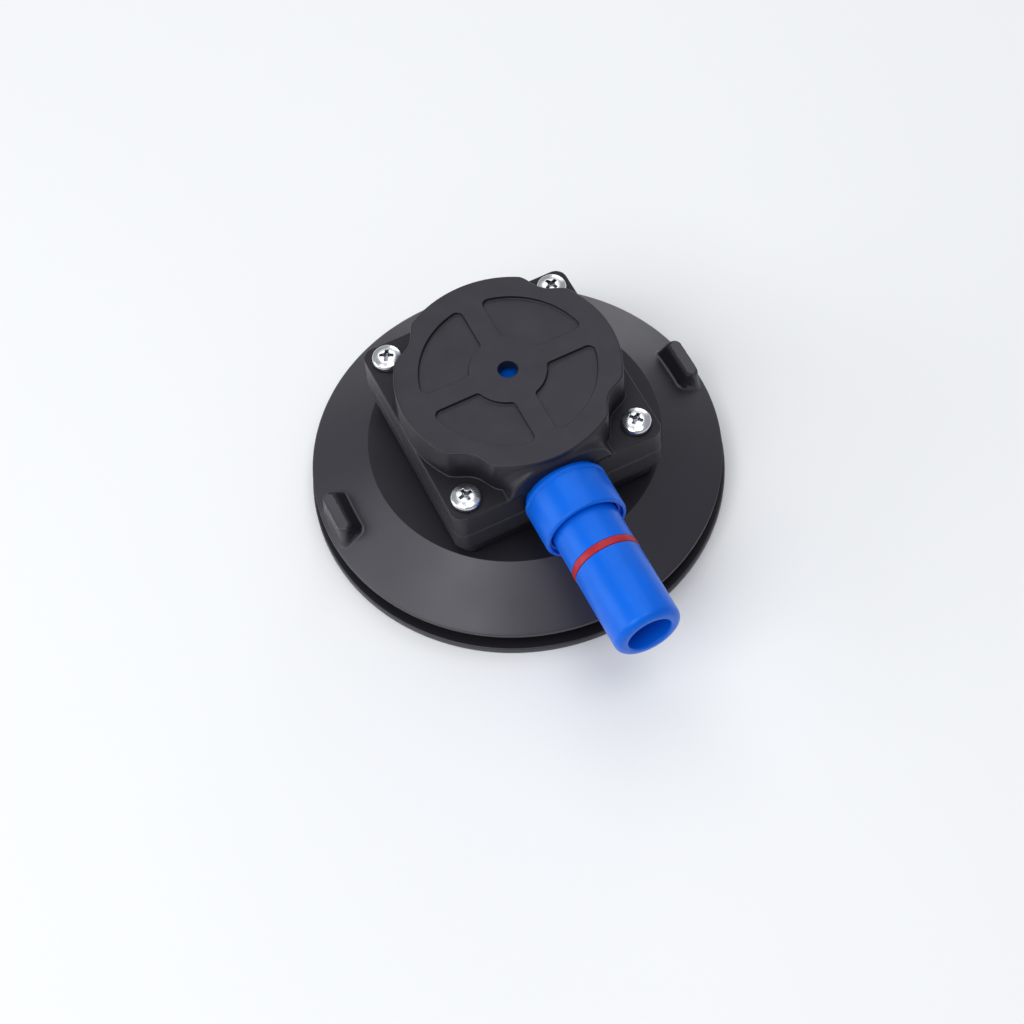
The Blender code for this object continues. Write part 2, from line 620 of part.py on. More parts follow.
clear_scene()
make_pad()
make_backing_plate()
make_threaded_inserts()
make_filter()
make_housing()
make_screws()
make_barrel()
make_collar()
make_wiper()
make_plunger(joint_empty("plunger_slide", (0.0, COLLAR_Y[0], AXIS_Z)))
make_spring()
make_inlet(joint_empty("valve_lift", (0.0, 0.0, DISC_Z[0])))
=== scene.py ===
"""Looks of the hand-pumped vacuum suction cup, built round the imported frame.

The housing and the screws are moulded as distance fields, so that their edges have real
rounds and fillets. Round parts are turned from profiles with a radius at each corner.
Lengths are in millimetres in the frame's axes and become metres in the meshes, apart from
those of the lamps, the floor and the camera, which are in metres.
"""

import json
import math

import bmesh
import bpy
import numpy as np
from mathutils import Matrix, Quaternion, Vector


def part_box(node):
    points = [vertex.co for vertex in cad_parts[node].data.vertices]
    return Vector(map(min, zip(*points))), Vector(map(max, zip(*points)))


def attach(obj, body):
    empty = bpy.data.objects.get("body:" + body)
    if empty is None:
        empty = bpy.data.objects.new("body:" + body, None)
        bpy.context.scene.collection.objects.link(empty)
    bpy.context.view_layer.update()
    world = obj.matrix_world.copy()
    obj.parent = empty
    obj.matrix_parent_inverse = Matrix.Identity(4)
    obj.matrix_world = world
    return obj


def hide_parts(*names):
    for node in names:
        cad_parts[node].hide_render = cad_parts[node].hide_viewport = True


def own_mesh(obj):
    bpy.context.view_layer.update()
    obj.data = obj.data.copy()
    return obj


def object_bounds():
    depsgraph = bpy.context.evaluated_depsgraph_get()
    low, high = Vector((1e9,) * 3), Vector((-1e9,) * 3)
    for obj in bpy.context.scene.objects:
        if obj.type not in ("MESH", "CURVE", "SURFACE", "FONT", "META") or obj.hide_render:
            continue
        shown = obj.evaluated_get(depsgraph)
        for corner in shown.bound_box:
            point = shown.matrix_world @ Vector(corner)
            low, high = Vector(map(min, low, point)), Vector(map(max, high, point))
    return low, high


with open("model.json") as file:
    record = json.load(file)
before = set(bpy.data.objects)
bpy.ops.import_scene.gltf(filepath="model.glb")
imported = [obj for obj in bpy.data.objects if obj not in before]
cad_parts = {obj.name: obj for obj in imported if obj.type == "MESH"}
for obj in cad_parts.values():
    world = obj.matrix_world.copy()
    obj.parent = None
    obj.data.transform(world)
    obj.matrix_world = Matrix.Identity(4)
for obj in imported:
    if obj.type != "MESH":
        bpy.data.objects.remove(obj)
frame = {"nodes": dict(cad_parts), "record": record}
cad_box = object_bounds()
MM = 0.001
FINE = 1.0   # factor on the grids' spacing


def box_mm(node):
    """A CAD node's lowest and highest corners in millimetres."""
    return [np.array(corner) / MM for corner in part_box(node)]


# Places taken from the frame

PAD_HIGH = box_mm("vacuum_pad")[1]
HOUSING_LOW, HOUSING_HIGH = box_mm("housing")
PAD_RADIUS, PLATFORM_Z = PAD_HIGH[1], PAD_HIGH[2]
BASE_Z, TOP_Z = HOUSING_LOW[2], HOUSING_HIGH[2]
FLANGE_HALF, HOOD_FACE_Y = HOUSING_HIGH[0], HOUSING_LOW[1]
COLLAR_LOW, COLLAR_HIGH = box_mm("barrel_collar")
BARREL_LOW, BARREL_HIGH = box_mm("pump_barrel")
PLUNGER_LOW, PLUNGER_HIGH = box_mm("plunger")
RING_LOW, RING_HIGH = box_mm("indicator_ring")
SPRING_LOW, SPRING_HIGH = box_mm("plunger_spring")
SCREW_NAMES = [f"screw_{number}" for number in range(1, 5)]
SCREWS = {name: (box_mm(name)[0] + box_mm(name)[1]) / 2 for name in SCREW_NAMES}
SCREW_LOW, SCREW_HIGH = box_mm("screw_1")
AXIS_Z = (PLUNGER_LOW[2] + PLUNGER_HIGH[2]) / 2
COLLAR_RADIUS = COLLAR_HIGH[0]
PLUNGER_RADIUS = PLUNGER_HIGH[0]
RING_RADIUS = RING_HIGH[0]
SCREW_PITCH = SCREWS["screw_1"][0]
HEAD_RADIUS = (SCREW_HIGH[0] - SCREW_LOW[0]) / 2

CLEAR = 0.3                         # gap between a hollow and the piece that sits in it

# Pad
SHOULDER = (56.4, 8.5)              # radius and height of the cone's outer edge
PLATFORM_RADIUS = 39.9              # the flat top that the housing stands on
GROOVE_RADIUS = 51.2                # floor of the groove between the lip and the cone
GROOVE_Z = (1.9, 6.6)
LIP_EDGE_Z = 2.2
LAND_WIDTH = 6.0                    # the flat ring that seals
FACE_DEPTH = 1.6                    # how far the face inside the land is set back
RIB_RADII = (22.0, 32.0, 42.0)
RIB_Z = 0.7
SCREEN_POCKET = (9.0, 5.6)          # radius and depth
PORT_RADIUS = 2.9
VALVE_POCKET = (6.3, 15.0)          # radius and floor height
TAB_LEAD = 1.6                      # the tabs' middle in Y
TAB_MIDDLE = 52.5                   # and in X
TAB_HALF = (1.9, 6.5)               # half thickness and half length of a tab at its top
TAB_TOP = 16.8
TAB_LEANS = (0.03, 0.15)            # how far the outer side and the ends lean, per mm of height
TAB_INNER = (0.74, 0.67)            # the inner side's slope: its normal, inward and upward
TAB_ARC = 11                        # half of the arc with close vertices, in degrees

# Housing
FLANGE_Z = (25.0, 39.2)
SKIRT_HALF = 28.3
CORNER = 3.4                        # the flange's and the skirt's corners, seen from above
SEAM_Z, SEAM_STEP = 31.2, 0.14      # the mould's parting line round the flange
TURRET_RADIUS = 29.9
TURRET_DRAFT = 0.012
SCALLOP_RADIUS = 7.1
SHOULDER_ROUND = 2.0                # where a scallop meets the turret's round wall
POCKET_RADII = (10.3, 23.3)
POCKET_DEPTH = 1.0
SPOKE_HALF = 3.0
HOLE_RADIUS = 2.6                   # the hole in the middle of the turret's top
HOOD_HALF, HOOD_TOP, HOOD_ROUND = 14.6, 47.1, 8.6
HOOD_BACK_Y = -20.0                 # inside the turret
HOOD_BORE_Y = -24.0                 # how far the hood's bore goes in
WALL = 3.0
INSIDE_HALF = 25.3                  # the square hollow in the flange
INSIDE_RADIUS = 26.6                # the round hollow in the turret
BOSS_RADIUS = 4.9
BULKHEAD = ((4.2, 10.0), 20.6)      # the wall that holds the barrel's back: Y, and lowest Z
SCREW_HOLE_RADIUS = 2.25

# Pump
BARREL_RADIUS, BORE_RADIUS = 10.35, 9.5
BARREL_FLOOR_Y = 4.0                # the bore's blind end
LEDGE_RADIUS = 11.85                # the ledge bears on the hood's wall from inside
LEDGE_Y = (-25.5, -23.1)
NIPPLE_RADII = (1.4, 3.6)
THUMB_RADIUS, THUMB_FLOOR_Y = 6.0, -54.5    # the open end of the plunger
SPRING_WELL = (6.2, -51.0)          # radius and floor of the plunger's inner bore
NECK_RADIUS, NECK_Y = 7.7, -29.6    # where the seal sits
WIRE_RADIUS, COILS = 0.55, 10


# Distance fields. Negative is inside.

def length(*parts):
    """The length of a vector from its parts."""
    return np.sqrt(sum(part * part for part in parts))


def blend_union(a, b, radius):
    """Union with a round fillet of that radius in the inner corner."""
    near = length(np.maximum(radius - a, 0), np.maximum(radius - b, 0))
    return np.maximum(radius, np.minimum(a, b)) - near


def blend_cut(a, b, radius):
    """The part of a outside b, with a round edge of that radius."""
    return -blend_union(-a, b, radius)


def blend_both(a, b, radius):
    """The part of a inside b, with a round edge of that radius."""
    return -blend_union(-a, -b, radius)


def slab(value, low, high):
    """The space between two levels."""
    return np.abs(value - (low + high) / 2) - (high - low) / 2


def rounded_rectangle(a, b, half_a, half_b, corner):
    """A rectangle about the origin, with round corners."""
    out_a, out_b = np.abs(a) - half_a + corner, np.abs(b) - half_b + corner
    outside = length(np.maximum(out_a, 0), np.maximum(out_b, 0))
    return outside + np.minimum(np.maximum(out_a, out_b), 0) - corner


def grid_lines(*stretches):
    """Grid lines from stretches of (start, end, spacing)."""
    lines = []
    for start, end, spacing in stretches:
        count = max(1, round((end - start) / (spacing * FINE)))
        lines += list(np.linspace(start, end, count, endpoint=False))
    return np.array(lines + [stretches[-1][1]])


def surface_net(field, lines):
    """Vertices and quads where a field is zero, on a grid with the given lines on each axis."""
    grid = np.meshgrid(*lines, indexing="ij", sparse=True)
    values = np.broadcast_to(field(*grid), [len(line) for line in lines])
    cells, points, turned = [], [], []
    for axis in range(3):
        low = np.moveaxis(values, axis, 0)[:-1]
        high = np.moveaxis(values, axis, 0)[1:]
        found = np.nonzero((low < 0) != (high < 0))
        start, end = low[found], high[found]
        index = list(found[1:])
        index.insert(axis, found[0])
        place = [lines[k][index[k]] for k in range(3)]
        step = lines[axis][index[axis] + 1] - place[axis]
        place[axis] = place[axis] + step * start / (start - end)
        second, third = (axis + 1) % 3, (axis + 2) % 3
        ring = []
        for back_second, back_third in ((0, 0), (1, 0), (1, 1), (0, 1)):
            cell = list(index)
            cell[second] = cell[second] - back_second
            cell[third] = cell[third] - back_third
            ring.append(np.ravel_multi_index(cell, values.shape))
        cells.append(np.stack(ring, 1))
        points.append(np.stack(place, 1))
        turned.append(start >= 0)
    cells, points, turned = map(np.concatenate, (cells, points, turned))
    used, quads = np.unique(cells, return_inverse=True)
    quads = quads.reshape(-1, 4)
    share = np.bincount(quads.ravel(), minlength=len(used))
    vertices = np.stack([np.bincount(quads.ravel(), np.repeat(points[:, k], 4)) / share
                         for k in range(3)], 1)
    quads[turned] = quads[turned][:, ::-1]
    return vertices, quads


def slope(field, points, step=0.01):
    """The field's gradient at some points."""
    parts = []
    for axis in range(3):
        shift = np.zeros(3)
        shift[axis] = step
        ahead, behind = (points + shift).T, (points - shift).T
        parts.append((field(*ahead) - field(*behind)) / (2 * step))
    return np.stack(parts, 1)


def settle(field, points, reach, rounds=4):
    """Moves points onto the field's surface."""
    for _ in range(rounds):
        gradient = slope(field, points)
        steep = np.maximum((gradient ** 2).sum(1), 0.05)
        move = (field(*points.T) / steep)[:, None] * gradient
        far = np.maximum(length(*move.T)[:, None] / reach, 1)
        points = points - move / far
    return points


def new_object(name, vertices, faces):
    """An object from vertices in millimetres and faces."""
    mesh = bpy.data.meshes.new(name)
    mesh.from_pydata(vertices.tolist(), [], faces.tolist() if hasattr(faces, "tolist") else faces)
    mesh.transform(Matrix.Scale(MM, 4))
    mesh.update()
    piece = bpy.data.objects.new(name, mesh)
    bpy.context.scene.collection.objects.link(piece)
    return piece


def applied(piece):
    """Applies an object's modifiers."""
    graph = bpy.context.evaluated_depsgraph_get()
    made = bpy.data.meshes.new_from_object(piece.evaluated_get(graph))
    piece.modifiers.clear()
    piece.data = made
    return piece


def mould(name, field, lines, share, reach=0.15):
    """A solid from a distance field, thinned to a share of its faces and smooth-shaded."""
    vertices, quads = surface_net(field, lines)
    piece = new_object(name, settle(field, vertices, reach), quads)
    if share < 1:
        piece.modifiers.new("thin", "DECIMATE").ratio = share
        applied(piece)
    piece.data.shade_smooth()
    points = np.empty(len(piece.data.vertices) * 3)
    piece.data.vertices.foreach_get("co", points)
    normals = slope(field, points.reshape(-1, 3) / MM, 0.02)
    normals /= np.maximum(length(*normals.T)[:, None], 1e-6)
    piece.data.normals_split_custom_set_from_vertices(normals.tolist())
    return piece


def rounded_path(corners, steps=5):
    """A closed outline from (across, up, radius) corners, with an arc at each radius."""
    outline = []
    for number, (across, up, radius) in enumerate(corners):
        here = np.array((across, up))
        if radius == 0:
            outline.append(here)
            continue
        before = np.array(corners[number - 1][:2]) - here
        after = np.array(corners[(number + 1) % len(corners)][:2]) - here
        before, after = before / length(*before), after / length(*after)
        half = math.acos(max(-1.0, min(1.0, float(before @ after)))) / 2
        reach = radius / math.tan(half)
        middle = here + (before + after) / length(*(before + after)) * radius / math.sin(half)
        first, last = here + before * reach - middle, here + after * reach - middle
        start = math.atan2(first[1], first[0])
        turn = (math.atan2(last[1], last[0]) - start + math.pi) % (2 * math.pi) - math.pi
        for step in range(steps + 1):
            angle = start + turn * step / steps
            outline.append(middle + radius * np.array((math.cos(angle), math.sin(angle))))
    return np.array(outline)


def lathe(name, corners, axis="Z", centre=(0.0, 0.0), segments=144, steps=5):
    """Turns a closed outline of (radius, height, corner radius) about a line along Z or Y."""
    outline = rounded_path(corners, steps)
    turns = np.linspace(0, 2 * math.pi, segments, endpoint=False)
    across = centre[0] + outline[:, :1] * np.cos(turns)
    other = centre[1] + outline[:, :1] * np.sin(turns)
    along = np.broadcast_to(outline[:, 1:], across.shape)
    stack = (across, other, along) if axis == "Z" else (across, along, other)
    vertices = np.stack(stack, -1).reshape(-1, 3)
    faces = tube_faces(len(outline), segments, True)
    piece = new_object(name, vertices, faces)
    outward(piece)
    piece.data.set_sharp_from_angle(angle=math.radians(32))
    return piece


def tube_faces(rings, sides, closed):
    """Quads between rings of vertices, and between the last and the first if closed."""
    first = np.arange(rings if closed else rings - 1)[:, None]
    side = np.arange(sides)
    after, onward = (first + 1) % rings, (side + 1) % sides
    quads = [first * sides + side, first * sides + onward, after * sides + onward,
             after * sides + side]
    return np.stack(quads, -1).reshape(-1, 4)


def outward(piece):
    """Turns all faces outward and shades them smooth."""
    shape = bmesh.new()
    shape.from_mesh(piece.data)
    bmesh.ops.recalc_face_normals(shape, faces=shape.faces)
    shape.to_mesh(piece.data)
    shape.free()
    piece.data.shade_smooth()


def combine(piece, tool, operation="DIFFERENCE"):
    """Cuts a tool out of a piece, or joins it on, and removes the tool."""
    step = piece.modifiers.new("combine", "BOOLEAN")
    step.operation, step.object, step.solver = operation, tool, "EXACT"
    applied(piece)
    bpy.data.objects.remove(tool)


# Materials

SOCKETS = {"specular_ior_level": "Specular IOR Level", "specular_tint": "Specular Tint",
           "sheen_weight": "Sheen Weight"}


def shader(slot, colour, roughness, metallic=0.0, grain=0.3, depth=0.01, mottle=0.12, patch=9.0,
           spread=0.06, stretch=(1.0, 1.0, 1.0), **sockets):
    """A Principled material with colour and roughness varied by noise, and a fine bump.

    grain is the size of the bump in mm and depth its height. patch is the size of the variation
    in mm, mottle the share by which the colour varies, and spread how far the roughness does.
    stretch scales the noise along each axis. The other keywords are sockets of the shader.
    """
    material = bpy.data.materials.new(slot)
    material.use_nodes = True
    tree = material.node_tree
    surface = tree.nodes["Principled BSDF"]
    surface.inputs["Metallic"].default_value = metallic
    for name, value in sockets.items():
        surface.inputs[SOCKETS[name]].default_value = value

    where = tree.nodes.new("ShaderNodeTexCoord")
    scaled = tree.nodes.new("ShaderNodeMapping")
    scaled.inputs["Scale"].default_value = stretch
    tree.links.new(where.outputs["Object"], scaled.inputs["Vector"])

    def noise(size, detail):
        node = tree.nodes.new("ShaderNodeTexNoise")
        node.inputs["Scale"].default_value = 1 / (size * MM)
        node.inputs["Detail"].default_value = detail
        tree.links.new(scaled.outputs["Vector"], node.inputs["Vector"])
        return node.outputs["Fac"]

    def ranged(source, low, high):
        node = tree.nodes.new("ShaderNodeMapRange")
        node.inputs["From Min"].default_value = 0.3
        node.inputs["From Max"].default_value = 0.7
        node.inputs["To Min"].default_value = low
        node.inputs["To Max"].default_value = high
        tree.links.new(source, node.inputs["Value"])
        return node.outputs["Result"]

    broad, fine = noise(patch, 3.0), noise(grain, 2.0)
    mix = tree.nodes.new("ShaderNodeMix")
    mix.data_type = "RGBA"
    mix.inputs["A"].default_value = (*[c * (1 - mottle) for c in colour], 1)
    mix.inputs["B"].default_value = (*[min(1, c * (1 + mottle)) for c in colour], 1)
    tree.links.new(ranged(broad, 0, 1), mix.inputs["Factor"])
    tree.links.new(mix.outputs["Result"], surface.inputs["Base Color"])
    tree.links.new(ranged(broad, roughness + spread, roughness - spread),
                   surface.inputs["Roughness"])
    bump = tree.nodes.new("ShaderNodeBump")
    bump.inputs["Strength"].default_value = 1.0
    bump.inputs["Distance"].default_value = depth * MM
    tree.links.new(fine, bump.inputs["Height"])
    tree.links.new(bump.outputs["Normal"], surface.inputs["Normal"])
    return material


# One material for each of the record's slots, and darker, less shiny copies of the rubber and the
# nylon that paint shade onto parts of the pad and the housing
SLOTS = {
    "pad_rubber": shader("pad_rubber", (0.0115, 0.0105, 0.0155), 0.44, grain=0.35, depth=0.003,
                         mottle=0.12, patch=14.0, spread=0.025, specular_ior_level=0.8,
                         specular_tint=(0.94, 0.91, 1.0, 1.0)),
    # painted shade: a darker, less shiny copy of the pad's rubber
    "pad_rubber_painted_shade": shader("pad_rubber_painted_shade", (0.0085, 0.008, 0.011), 0.5, grain=0.35,
                              depth=0.003, mottle=0.12, patch=14.0, spread=0.025,
                              specular_ior_level=0.34, specular_tint=(0.94, 0.91, 1.0, 1.0)),
    "seal_rubber": shader("seal_rubber", (0.012, 0.012, 0.013), 0.42, grain=0.2, depth=0.003),
    "black_nylon": shader("black_nylon", (0.0105, 0.0096, 0.0145), 0.46, grain=0.28, depth=0.009,
                          mottle=0.12, patch=7.0, spread=0.035,
                          specular_tint=(0.94, 0.91, 1.0, 1.0)),
    # painted shade: a darker, less shiny copy of the nylon
    "black_nylon_painted_shade": shader("black_nylon_painted_shade", (0.009, 0.0083, 0.012), 0.5, grain=0.28,
                               depth=0.009, mottle=0.12, patch=7.0, spread=0.035,
                               specular_ior_level=0.3, specular_tint=(0.94, 0.91, 1.0, 1.0)),
    "zinc_steel": shader("zinc_steel", (0.78, 0.8, 0.83), 0.24, 1.0, grain=0.5, depth=0.012,
                         mottle=0.06, patch=1.5, spread=0.07),
    "brass": shader("brass", (0.72, 0.5, 0.2), 0.3, 1.0, grain=0.2, depth=0.004, patch=2.0),
    "plain_steel": shader("plain_steel", (0.5, 0.51, 0.53), 0.34, 1.0, grain=0.3, depth=0.004,
                          stretch=(1.0, 12.0, 1.0), patch=3.0),
    "spring_steel": shader("spring_steel", (0.42, 0.43, 0.45), 0.28, 1.0, grain=0.25,
                           depth=0.003, patch=2.0),
    "blue_acetal": shader("blue_acetal", (0.0005, 0.118, 0.7), 0.33, grain=0.5, depth=0.003,
                          mottle=0.05, patch=6.0, spread=0.03, specular_ior_level=0.4,
                          specular_tint=(0.42, 0.8, 1.0, 1.0)),
    "red_plastic": shader("red_plastic", (0.42, 0.008, 0.02), 0.38, grain=0.3, depth=0.004,
                          patch=2.0, specular_ior_level=0.35),
    "white_felt": shader("white_felt", (0.74, 0.72, 0.67), 0.95, grain=0.18, depth=0.15,
                         patch=0.8, spread=0.03, sheen_weight=0.4),
    "natural_acetal": shader("natural_acetal", (0.76, 0.75, 0.71), 0.4, grain=0.3, depth=0.004,
                             patch=4.0),
}
SLOT_OF = {part["node"]: part["material_slot"] for part in frame["record"]["subparts"]}


def paint_recess_shade(material, below, within, fade=0.5):
    """Paints shade into a material's colour below a height and near the Z axis: the painted shade
    in a screw's recess.

    The change is complete a distance fade below that height.
    """
    tree = material.node_tree
    surface = tree.nodes["Principled BSDF"]
    colour = surface.inputs["Base Color"].links[0].from_socket
    where = tree.nodes.new("ShaderNodeTexCoord")
    split = tree.nodes.new("ShaderNodeSeparateXYZ")
    tree.links.new(where.outputs["Object"], split.inputs["Vector"])

    def result(operation, *values, clamp=False):
        node = tree.nodes.new("ShaderNodeMath")
        node.operation, node.use_clamp = operation, clamp
        for socket, value in zip(node.inputs, values):
            if isinstance(value, float):
                socket.default_value = value
            else:
                tree.links.new(value, socket)
        return node.outputs[0]

    x, y, z = (split.outputs[axis] for axis in "XYZ")
    reach = result("ADD", result("MULTIPLY", x, x), result("MULTIPLY", y, y))
    near = result("LESS_THAN", reach, (within * MM) ** 2)
    depth = result("MULTIPLY_ADD", z, -1 / (fade * MM), below / fade, clamp=True)
    mix = tree.nodes.new("ShaderNodeMix")
    mix.data_type = "RGBA"
    # the colour of the painted shade in the recess
    mix.inputs["B"].default_value = (0.3, 0.31, 0.34, 1)
    tree.links.new(result("MULTIPLY", near, depth), mix.inputs["Factor"])
    tree.links.new(colour, mix.inputs["A"])
    tree.links.new(mix.outputs["Result"], surface.inputs["Base Color"])


def dress(piece, *nodes, body="cup"):
    """Gives a new piece its material, puts it under its body's empty and hides the CAD nodes that
    it replaces.
    """
    slot = SLOT_OF[nodes[0]]
    piece.data.materials.clear()
    piece.data.materials.append(SLOTS[slot])
    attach(piece, body)
    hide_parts(*nodes)
    return piece


# Pad

def cone_z(radius):
    """Height of the pad's sloping top."""
    share = (SHOULDER[0] - radius) / (SHOULDER[0] - PLATFORM_RADIUS)
    return SHOULDER[1] + share * (PLATFORM_Z - SHOULDER[1])


def tab_z(x, y, low):
    """Height of the pad's top over (x, y), with the tabs, which slope down towards the middle."""
    rise = (PLATFORM_Z - SHOULDER[1]) / (SHOULDER[0] - PLATFORM_RADIUS)
    tilt = math.hypot(1, rise)
    out, side = np.abs(x), np.abs(y - TAB_LEAD)
    top, bottom = np.full(x.shape, TAB_TOP + 1.0), low - 0.5
    for _ in range(26):
        z = (top + bottom) / 2
        cone = (z - cone_z(length(x, y))) / tilt
        drop = TAB_TOP - z
        outer = out - TAB_MIDDLE - TAB_HALF[0] - TAB_LEANS[0] * drop
        ends = side - TAB_HALF[1] - TAB_LEANS[1] * drop
        inner = TAB_INNER[0] * (TAB_MIDDLE - TAB_HALF[0] - out) - TAB_INNER[1] * drop
        wall = blend_both(blend_both(outer, ends, 2.0), inner, 1.5)
        solid = blend_union(cone, blend_both(wall, -drop, 0.55), 0.6) < 0
        bottom, top = np.where(solid, z, bottom), np.where(solid, top, z)
    return np.maximum((top + bottom) / 2, low)


def pad_outline():
    """The pad's section: corners of (radius, height, corner radius) round the solid part."""
    land = PAD_RADIUS - LAND_WIDTH
    under = [(SCREEN_POCKET[0], FACE_DEPTH, 0.3)]
    for radius in RIB_RADII:
        under += [(radius - 1.6, FACE_DEPTH, 0.5), (radius - 0.7, RIB_Z, 0.4),
                  (radius + 0.7, RIB_Z, 0.4), (radius + 1.6, FACE_DEPTH, 0.5)]
    lip = [(land - FACE_DEPTH, FACE_DEPTH, 0.8), (land, 0.0, 0.5), (PAD_RADIUS, 0.0, 0.25),
           (PAD_RADIUS, LIP_EDGE_Z, 0.35), (GROOVE_RADIUS, GROOVE_Z[0], 0.9),
           (GROOVE_RADIUS, GROOVE_Z[1], 0.9), (SHOULDER[0] - 0.1, SHOULDER[1] - 1.3, 0.3),
           (*SHOULDER, 0.22)]
    return under + lip


def make_pad():
    """The pad: its section turned, with the tabs raised and holes cut for the inserts."""
    lower = rounded_path(pad_outline() + [(PLATFORM_RADIUS, PLATFORM_Z, 0)], 4)[:-1]
    slope_radii = grid_lines((55.6, 45.8, -0.22), (45.8, PLATFORM_RADIUS + 0.5, -1.0))
    cone = np.stack([slope_radii, cone_z(slope_radii)], 1)
    plate_low, plate_high = box_mm("backing_plate")
    upper = rounded_path([
        (*SHOULDER, 0), (PLATFORM_RADIUS, PLATFORM_Z, 0.35),
        (VALVE_POCKET[0], PLATFORM_Z, 0.3), (*VALVE_POCKET, 0), (PORT_RADIUS, VALVE_POCKET[1], 0),
        (PORT_RADIUS, plate_high[2] + CLEAR, 0), (plate_high[0] + CLEAR, plate_high[2] + CLEAR, 0),
        (plate_high[0] + CLEAR, plate_low[2] - CLEAR, 0), (PORT_RADIUS, plate_low[2] - CLEAR, 0),
        (PORT_RADIUS, SCREEN_POCKET[1], 0), (*SCREEN_POCKET, 0)], 6)[1:]
    outline = np.concatenate([lower, cone, upper])
    # The rings of vertices are closer together across the two tabs.
    half = math.radians(TAB_ARC)
    lean = math.asin(TAB_LEAD / TAB_MIDDLE)
    close, wide = round(76 / FINE), round(110 / FINE)
    turns = np.concatenate([
        np.linspace(lean - half, lean + half, close, endpoint=False),
        np.linspace(lean + half, math.pi - lean - half, wide, endpoint=False),
        np.linspace(math.pi - lean - half, math.pi - lean + half, close, endpoint=False),
        np.linspace(math.pi - lean + half, 2 * math.pi + lean - half, wide, endpoint=False)])
    x, y = outline[:, :1] * np.cos(turns), outline[:, :1] * np.sin(turns)
    z = np.broadcast_to(outline[:, 1:], x.shape).copy()
    top = slice(len(lower), len(lower) + len(cone))
    z[top] = tab_z(x[top], y[top], z[top])
    vertices = np.stack([x, y, z], -1).reshape(-1, 3)
    pad = new_object("pad", vertices, tube_faces(len(outline), len(turns), True))
    outward(pad)
    for number in range(1, 5):
        low, high = box_mm(f"threaded_insert_{number}")
        middle, radius = (low + high) / 2, (high[0] - low[0]) / 2 + CLEAR
        floor, above = plate_high[2] - 0.5, PLATFORM_Z + 1
        combine(pad, lathe("hole", [(0.01, floor, 0), (radius, floor, 0), (radius, above, 0),
                                    (0.01, above, 0)], centre=middle[:2], segments=48))
    pad.data.set_sharp_from_angle(angle=math.radians(40))
    dress(pad, "vacuum_pad")
    paint_rubber_shade(pad)


def paint_rubber_shade(pad):
    """Painted shade: a darker, less shiny copy of the rubber on the platform, in the groove and on
    the tabs' inner sides.
    """
    pad.data.materials.append(SLOTS["pad_rubber_painted_shade"])
    for face in pad.data.polygons:
        middle = face.center / MM
        radius = middle.xy.length
        platform = middle.z > PLATFORM_Z - 0.3 and radius < PLATFORM_RADIUS
        tab = middle.z > cone_z(radius) + 0.5 and middle.x * face.normal.x < 0
        groove = radius < SHOULDER[0] - 0.6 and GROOVE_Z[0] < middle.z < GROOVE_Z[1] + 0.7
        face.material_index = int(platform or tab or groove)


# Housing

def from_screws(x, y):
    """Distance from the nearest screw's middle, seen from above."""
    return length(np.abs(x) - SCREW_PITCH, np.abs(y) - SCREW_PITCH)


def turret_plan(x, y):
    """The turret's outline seen from above: a circle with four scallops round the screws."""
    plan = length(x, y) - TURRET_RADIUS
    return blend_cut(plan, from_screws(x, y) - SCALLOP_RADIUS, SHOULDER_ROUND)


def pocket_plan(x, y):
    """One quarter's sector pocket, repeated by symmetry."""
    across, up = np.abs(x), np.abs(y)
    ring = length(x, y)
    spokes = np.maximum(SPOKE_HALF - across, SPOKE_HALF - up)
    return blend_both(blend_both(ring - POCKET_RADII[1], spokes, 2.2),
                      POCKET_RADII[0] - ring, 0.7)


def hood_plan(x, z):
    """The hood's outline seen along Y: square below the pump's axis and arched above it."""
    middle = (HOOD_TOP + BASE_Z + 0.4) / 2
    half = HOOD_TOP - middle
    square = rounded_rectangle(x, z - middle, HOOD_HALF, half, 0.5)
    arch = rounded_rectangle(x, z - middle, HOOD_HALF, half, HOOD_ROUND)
    return np.where(z > AXIS_Z, arch, square)


def hollow(x, y, z):
    """The space inside the housing: square below, round in the turret, with four bosses."""
    roof = FLANGE_Z[1] - WALL
    bosses = from_screws(x, y)
    lower = np.maximum(rounded_rectangle(x, y, INSIDE_HALF, INSIDE_HALF, 2.0),
                       slab(z, BASE_Z - 2, roof))
    lower = blend_cut(lower, bosses - BOSS_RADIUS, 0.8)
    upper = np.maximum(length(x, y) - INSIDE_RADIUS, slab(z, roof - 1, TOP_Z - WALL))
    upper = blend_cut(upper, bosses - SCALLOP_RADIUS - 2.6, 0.8)
    bulkhead = np.maximum(slab(y, *BULKHEAD[0]), BULKHEAD[1] - z)
    return np.maximum(np.minimum(lower, upper), -bulkhead)


def pump_seat(x, y, z):
    """The space that the barrel fills: through the hood, behind its wall and in the bulkhead."""
    across = length(x, z - AXIS_Z)
    bore = across - BARREL_RADIUS - CLEAR
    ledge = np.maximum(across - LEDGE_RADIUS - CLEAR, slab(y, LEDGE_Y[0] - CLEAR, HOOD_BACK_Y))
    back = np.maximum(bore, slab(y, BARREL_FLOOR_Y - 0.8, BARREL_HIGH[1] + CLEAR))
    return np.minimum(np.minimum(np.maximum(bore, y - HOOD_BORE_Y), ledge), back)


def hood_field(x, y, z, above):
    """The hood. Its face is flush with the flange, and stands proud of it above its top."""
    face = 0.3 - FLANGE_HALF + (HOOD_FACE_Y + FLANGE_HALF) * above
    depth = np.maximum(np.maximum(face - y, y - HOOD_BACK_Y), FLANGE_Z[0] + 0.4 - z)
    return blend_both(hood_plan(x, z), depth, 0.7)


